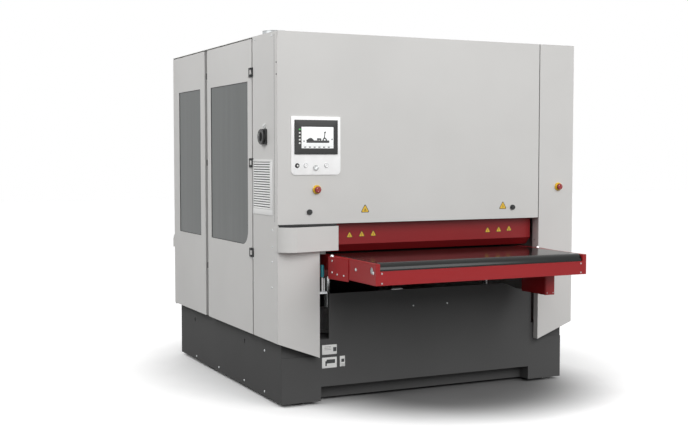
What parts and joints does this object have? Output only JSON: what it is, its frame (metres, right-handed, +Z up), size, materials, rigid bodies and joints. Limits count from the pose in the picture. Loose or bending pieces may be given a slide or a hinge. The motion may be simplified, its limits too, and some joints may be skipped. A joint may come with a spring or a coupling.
{
  "type": "wood sanding machine",
  "caption": "Wide-belt sanding machine for wood with a height-adjustable conveyor table under two sanding units in a closed housing",
  "frame": {"origin": "on the floor under the middle of the machine's width and of its whole length with the table", "axes": "+X to the right seen from the infeed side, +Y along the feed from infeed to outfeed, +Z up"},
  "size_m": [2.188, 3.045, 2.337],
  "materials": {
    "charcoal_paint": "satin",
    "frame_paint": "satin",
    "light_paint": "satin",
    "black_metal": "satin",
    "black_plastic": "matte",
    "white_plastic": "satin",
    "red_plastic": "gloss",
    "yellow_plastic": "gloss",
    "teal_plastic": "matte",
    "device_grey": "matte",
    "steel": "satin",
    "zinc": "satin",
    "roller_rubber": "matte",
    "belt_rubber": "satin",
    "abrasive": "matte",
    "motor_paint": "satin",
    "red_paint": "satin",
    "pane": "gloss"
  },
  "bodies": {
    "machine": {"base_frame": "charcoal_paint", "levelling_feet": "charcoal_paint", "base_apron": "charcoal_paint", "upper_frame": "frame_paint", "column_covers": "light_paint", "side_panels": "light_paint", "roof_rear_panels": "light_paint", "hinge_fittings": "black_metal", "vent_grille": "light_paint", "main_switch_body": "black_plastic", "electrical_plate": "device_grey", "jack_housings": "steel", "unit_beams": "frame_paint", "pressure_beams": "frame_paint", "abrasive_belts": "abrasive", "main_motors": "motor_paint", "v_belts": "belt_rubber", "extraction_ducts": "zinc", "height_sensor": "teal_plastic", "service_box": "light_paint", "panel_screws": "zinc", "estop_collar_column": "yellow_plastic"},
    "nose_roller": {"nose_roller": "steel"},
    "drive_roller": {"drive_roller": "steel"},
    "safety_bar": {"safety_bar": "red_paint"},
    "cover": {"front_cover": "light_paint", "hmi_plate": "white_plastic", "hmi_display": "black_plastic", "estop_collar_cover": "yellow_plastic"},
    "estop_head_cover": {"estop_head_cover": "red_plastic"},
    "estop_head_column": {"estop_head_column": "red_plastic"},
    "start_button": {"start_button": "black_plastic"},
    "reset_button": {"reset_button": "red_plastic"},
    "feed_button": {"feed_button": "black_plastic"},
    "selector_knob": {"selector_knob": "steel"},
    "lock_left": {"lock_left": "black_plastic"},
    "lock_right": {"lock_right": "black_plastic"},
    "main_switch_knob": {"main_switch_knob": "black_plastic"},
    "front_door": {"front_door": "light_paint", "front_door_pane": "pane"},
    "rear_door": {"rear_door": "light_paint", "rear_door_pane": "pane"},
    "table": {"table_frame": "red_paint", "table_covers": "red_paint", "bed_plate": "steel", "conveyor_belt": "belt_rubber", "lift_spindles": "steel", "feed_gearmotor": "motor_paint"},
    "contact_roller_front": {"contact_roller_front": "roller_rubber"},
    "contact_roller_rear": {"contact_roller_rear": "roller_rubber"},
    "tension_roller_front": {"tension_roller_front": "steel"},
    "tension_roller_rear": {"tension_roller_rear": "steel"},
    "tension_yoke_front": {"tension_yoke_front": "black_metal"},
    "tension_yoke_rear": {"tension_yoke_rear": "black_metal"},
    "motor_pulley_front": {"motor_pulley_front": "steel"},
    "motor_pulley_rear": {"motor_pulley_rear": "steel"},
    "pressure_roller_front": {"pressure_roller_front": "roller_rubber"},
    "pressure_roller_middle": {"pressure_roller_middle": "roller_rubber"},
    "pressure_roller_rear": {"pressure_roller_rear": "roller_rubber"}
  },
  "joints": [
    {"name": "table_lift", "type": "slide", "parent": "machine", "child": "table", "axis": [0, 0, 1], "range_m": [-0.145, 0]},
    {"name": "drive_roller_turn", "type": "hinge", "parent": "table", "child": "drive_roller", "pos_m": [0, 1.469, 0.8807], "axis": [1, 0, 0], "continuous": true},
    {"name": "nose_roller_turn", "type": "hinge", "parent": "table", "child": "nose_roller", "pos_m": [0, -1.469, 0.8807], "axis": [1, 0, 0], "continuous": true},
    {"name": "safety_bar_swing", "type": "hinge", "parent": "machine", "child": "safety_bar", "pos_m": [0, -0.825, 1.136], "axis": [1, 0, 0], "range_deg": [0, 10], "stiffness_Nm_per_rad": 8},
    {"name": "cover_swing", "type": "hinge", "parent": "machine", "child": "cover", "pos_m": [0, -0.909, 2.25], "axis": [1, 0, 0], "range_deg": [-75, 0]},
    {"name": "front_door_swing", "type": "hinge", "parent": "machine", "child": "front_door", "pos_m": [-1.0841, -0.505, 1.4], "axis": [0, 0, 1], "range_deg": [0, 110]},
    {"name": "rear_door_swing", "type": "hinge", "parent": "machine", "child": "rear_door", "pos_m": [-1.064, 1.159, 1.4], "axis": [0, 0, 1], "range_deg": [-100, 0]},
    {"name": "main_switch_turn", "type": "hinge", "parent": "machine", "child": "main_switch_knob", "pos_m": [-1.09, -0.7104, 1.64412], "axis": [1, 0, 0], "range_deg": [0, 90]},
    {"name": "estop_column_press", "type": "slide", "parent": "machine", "child": "estop_head_column", "axis": [0, 1, 0], "range_m": [0, 0.005], "stiffness_N_per_m": 800},
    {"name": "estop_cover_press", "type": "slide", "parent": "cover", "child": "estop_head_cover", "axis": [0, 1, 0], "range_m": [0, 0.005], "stiffness_N_per_m": 800},
    {"name": "start_button_press", "type": "slide", "parent": "cover", "child": "start_button", "axis": [0, 1, 0], "range_m": [0, 0.004], "stiffness_N_per_m": 800},
    {"name": "reset_button_press", "type": "slide", "parent": "cover", "child": "reset_button", "axis": [0, 1, 0], "range_m": [0, 0.004], "stiffness_N_per_m": 800},
    {"name": "feed_button_press", "type": "slide", "parent": "cover", "child": "feed_button", "axis": [0, 1, 0], "range_m": [0, 0.004], "stiffness_N_per_m": 800},
    {"name": "selector_turn", "type": "hinge", "parent": "cover", "child": "selector_knob", "pos_m": [-0.82912, -0.931, 1.45588], "axis": [0, 1, 0], "range_deg": [-45, 45]},
    {"name": "lock_left_turn", "type": "hinge", "parent": "cover", "child": "lock_left", "pos_m": [-0.87008, -0.931, 1.1906], "axis": [0, 1, 0], "range_deg": [0, 90]},
    {"name": "lock_right_turn", "type": "hinge", "parent": "cover", "child": "lock_right", "pos_m": [0.59008, -0.931, 1.1906], "axis": [0, 1, 0], "range_deg": [0, 90]},
    {"name": "contact_front_turn", "type": "hinge", "parent": "machine", "child": "contact_roller_front", "pos_m": [0, -0.271, 1.0628], "axis": [1, 0, 0], "continuous": true},
    {"name": "contact_rear_turn", "type": "hinge", "parent": "machine", "child": "contact_roller_rear", "pos_m": [0, 0.639, 1.0278], "axis": [1, 0, 0], "continuous": true},
    {"name": "tension_front_lift", "type": "slide", "parent": "machine", "child": "tension_yoke_front", "axis": [0, 0, 1], "range_m": [-0.025, 0]},
    {"name": "tension_rear_lift", "type": "slide", "parent": "machine", "child": "tension_yoke_rear", "axis": [0, 0, 1], "range_m": [-0.025, 0]},
    {"name": "tension_front_turn", "type": "hinge", "parent": "tension_yoke_front", "child": "tension_roller_front", "pos_m": [0, -0.271, 2.08013], "axis": [1, 0, 0], "continuous": true},
    {"name": "tension_rear_turn", "type": "hinge", "parent": "tension_yoke_rear", "child": "tension_roller_rear", "pos_m": [0, 0.639, 2.10176], "axis": [1, 0, 0], "continuous": true},
    {"name": "motor_front_turn", "type": "hinge", "parent": "machine", "child": "motor_pulley_front", "pos_m": [0, 0.009, 1.45], "axis": [1, 0, 0], "continuous": true},
    {"name": "motor_rear_turn", "type": "hinge", "parent": "machine", "child": "motor_pulley_rear", "pos_m": [0, 0.319, 1.7], "axis": [1, 0, 0], "continuous": true},
    {"name": "pressure_front_turn", "type": "hinge", "parent": "machine", "child": "pressure_roller_front", "pos_m": [0, -0.621, 0.9807], "axis": [1, 0, 0], "continuous": true},
    {"name": "pressure_middle_turn", "type": "hinge", "parent": "machine", "child": "pressure_roller_middle", "pos_m": [0, 0.184, 0.9807], "axis": [1, 0, 0], "continuous": true},
    {"name": "pressure_rear_turn", "type": "hinge", "parent": "machine", "child": "pressure_roller_rear", "pos_m": [0, 0.979, 0.9807], "axis": [1, 0, 0], "continuous": true}
  ],
  "couplings": [
    {"joint": "nose_roller_turn", "follows": "drive_roller_turn", "ratio": 1},
    {"joint": "tension_front_turn", "follows": "contact_front_turn", "ratio": 2.0833},
    {"joint": "tension_rear_turn", "follows": "contact_rear_turn", "ratio": 1.5},
    {"joint": "motor_front_turn", "follows": "contact_front_turn", "ratio": 1},
    {"joint": "motor_rear_turn", "follows": "contact_rear_turn", "ratio": 0.75}
  ]
}
